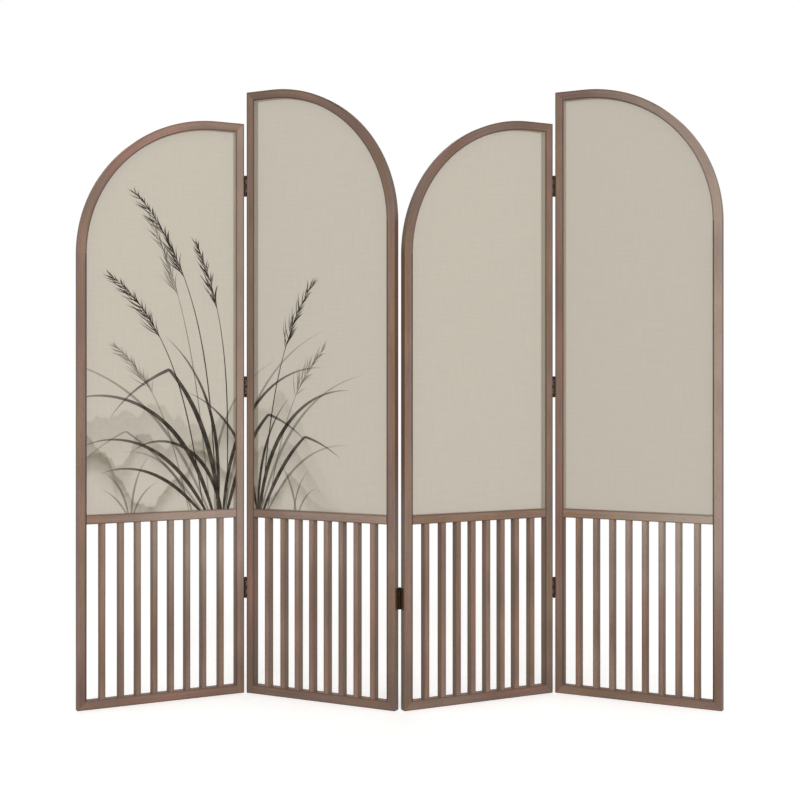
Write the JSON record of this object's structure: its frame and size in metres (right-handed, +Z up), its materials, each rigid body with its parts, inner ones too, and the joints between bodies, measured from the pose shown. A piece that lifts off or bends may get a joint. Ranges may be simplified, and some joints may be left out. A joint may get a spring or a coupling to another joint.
{
  "type": "folding screen",
  "caption": "Free-standing folding screen of arched wooden panels, gauze above upright slats, joined by butt hinges.",
  "frame": {"origin": "floor level, at the middle of the zigzag's width and depth as it stands", "axes": "+X to the viewer's right along the row, +Y away from the viewer, +Z up"},
  "size_m": [1.8436, 0.241, 1.8],
  "materials": {
    "walnut": "satin lacquer over walnut stain",
    "beech": "planed",
    "gauze": "fine translucent weave",
    "spline": "matte",
    "bronze": "dark bronze",
    "screw_steel": "dark bronze"
  },
  "bodies": {
    "panel_1": {"panel_1_hinge_stile": "walnut", "panel_1_free_stile": "walnut", "panel_1_bottom_rail": "walnut", "panel_1_mid_rail": "walnut", "panel_1_arch_rail": "walnut", "panel_1_slats": "walnut", "panel_1_loose_tenons": "beech", "panel_1_front_gauze": "gauze", "panel_1_back_gauze": "gauze", "panel_1_gauze_splines": "spline", "left_fold_swing_leaves": "bronze", "left_fold_swing_screws": "screw_steel"},
    "panel_2": {"panel_2_hinge_stile": "walnut", "panel_2_free_stile": "walnut", "panel_2_bottom_rail": "walnut", "panel_2_mid_rail": "walnut", "panel_2_arch_rail": "walnut", "panel_2_slats": "walnut", "panel_2_loose_tenons": "beech", "panel_2_front_gauze": "gauze", "panel_2_back_gauze": "gauze", "panel_2_gauze_splines": "spline", "left_fold_fixed_leaves": "bronze", "left_fold_pins": "bronze", "left_fold_fixed_screws": "screw_steel", "centre_fold_fixed_leaves": "bronze", "centre_fold_pins": "bronze", "centre_fold_fixed_screws": "screw_steel"},
    "panel_3": {"panel_3_hinge_stile": "walnut", "panel_3_free_stile": "walnut", "panel_3_bottom_rail": "walnut", "panel_3_mid_rail": "walnut", "panel_3_arch_rail": "walnut", "panel_3_slats": "walnut", "panel_3_loose_tenons": "beech", "panel_3_front_gauze": "gauze", "panel_3_back_gauze": "gauze", "panel_3_gauze_splines": "spline", "centre_fold_swing_leaves": "bronze", "centre_fold_swing_screws": "screw_steel", "right_fold_fixed_leaves": "bronze", "right_fold_pins": "bronze", "right_fold_fixed_screws": "screw_steel"},
    "panel_4": {"panel_4_hinge_stile": "walnut", "panel_4_free_stile": "walnut", "panel_4_bottom_rail": "walnut", "panel_4_mid_rail": "walnut", "panel_4_arch_rail": "walnut", "panel_4_slats": "walnut", "panel_4_loose_tenons": "beech", "panel_4_front_gauze": "gauze", "panel_4_back_gauze": "gauze", "panel_4_gauze_splines": "spline", "right_fold_swing_leaves": "bronze", "right_fold_swing_screws": "screw_steel"}
  },
  "joints": [
    {"name": "left_fold", "type": "hinge", "parent": "panel_2", "child": "panel_1", "pos_m": [-0.46279, 0.09826, 0.9175], "axis": [0, 0, 1], "range_deg": [-52.4, 127.6]},
    {"name": "centre_fold", "type": "hinge", "parent": "panel_2", "child": "panel_3", "pos_m": [0, -0.09826, 0.316], "axis": [0, 0, 1], "range_deg": [-52.4, 127.6]},
    {"name": "right_fold", "type": "hinge", "parent": "panel_3", "child": "panel_4", "pos_m": [0.46279, 0.09826, 0.9175], "axis": [0, 0, 1], "range_deg": [-127.6, 52.4]}
  ]
}
